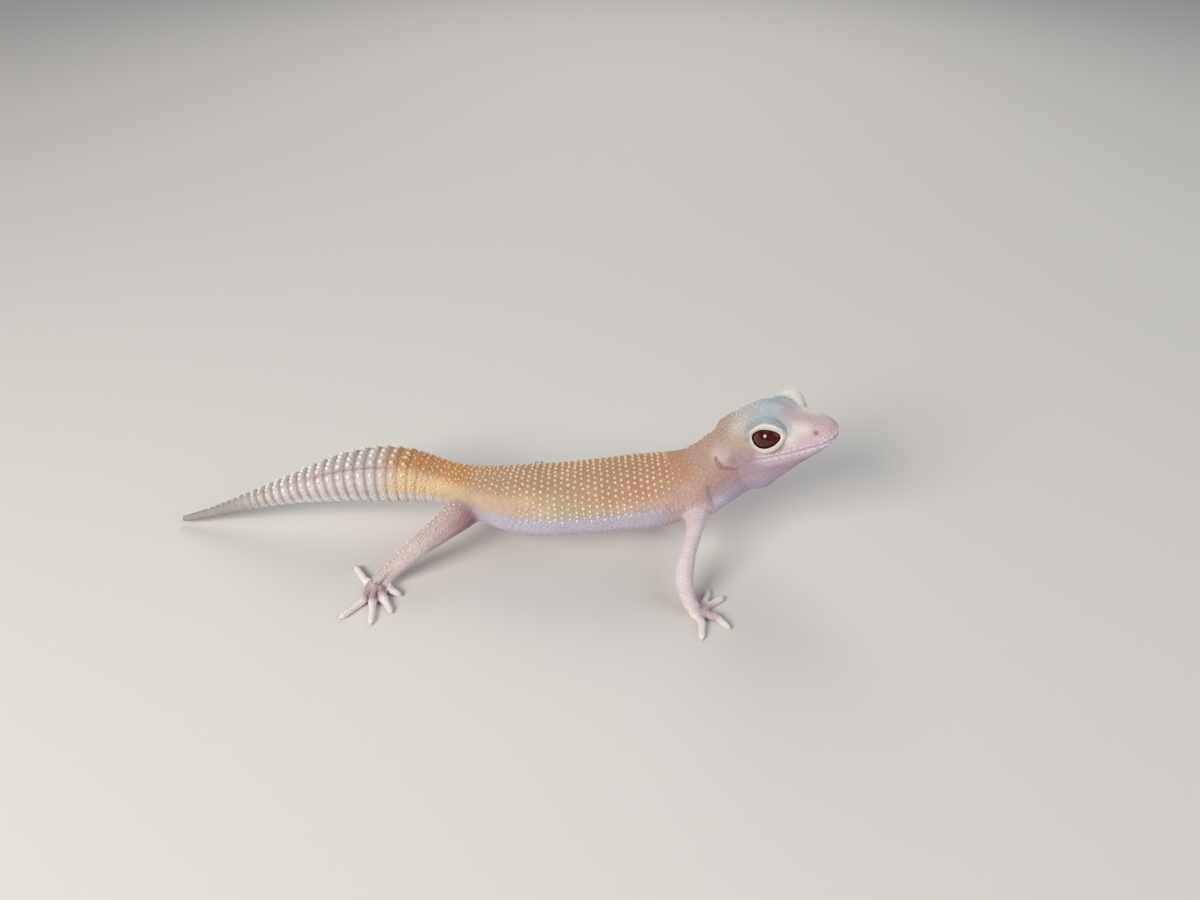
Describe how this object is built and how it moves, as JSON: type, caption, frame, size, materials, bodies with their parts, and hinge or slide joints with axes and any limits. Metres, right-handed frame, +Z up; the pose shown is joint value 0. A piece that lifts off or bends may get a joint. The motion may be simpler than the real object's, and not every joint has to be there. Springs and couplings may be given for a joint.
{
  "type": "leopard gecko figure",
  "caption": "Life-size still model of a young pale leopard gecko standing on all fours, its head raised and turned and its ringed tail held just above the ground.",
  "frame": {"origin": "on the level of the soles, under the middle of the whole animal's bounding box", "axes": "+X along the trunk towards the head, +Y to the animal's left, +Z up"},
  "size_m": [0.1326, 0.0502, 0.0353],
  "materials": {
    "head_skin": "satin",
    "trunk_skin": "satin",
    "tail_skin": "satin",
    "limb_skin": "satin",
    "eyelid": "satin",
    "eardrum": "satin",
    "eye": "gloss"
  },
  "bodies": {
    "root": {"head": "head_skin", "lower_jaw": "head_skin", "eye_right": "eye", "eye_left": "eye", "eyelids_right": "eyelid", "eyelids_left": "eyelid", "ear_right": "eardrum", "ear_left": "eardrum", "neck": "trunk_skin", "trunk_front": "trunk_skin", "trunk_rear": "trunk_skin", "tail_base": "tail_skin", "tail_middle": "tail_skin", "tail_tip": "tail_skin", "upper_arm_right": "limb_skin", "forearm_right": "limb_skin", "hand_right": "limb_skin", "upper_arm_left": "limb_skin", "forearm_left": "limb_skin", "hand_left": "limb_skin", "thigh_right": "limb_skin", "shank_right": "limb_skin", "foot_right": "limb_skin", "thigh_left": "limb_skin", "shank_left": "limb_skin", "foot_left": "limb_skin"}
  },
  "joints": []
}
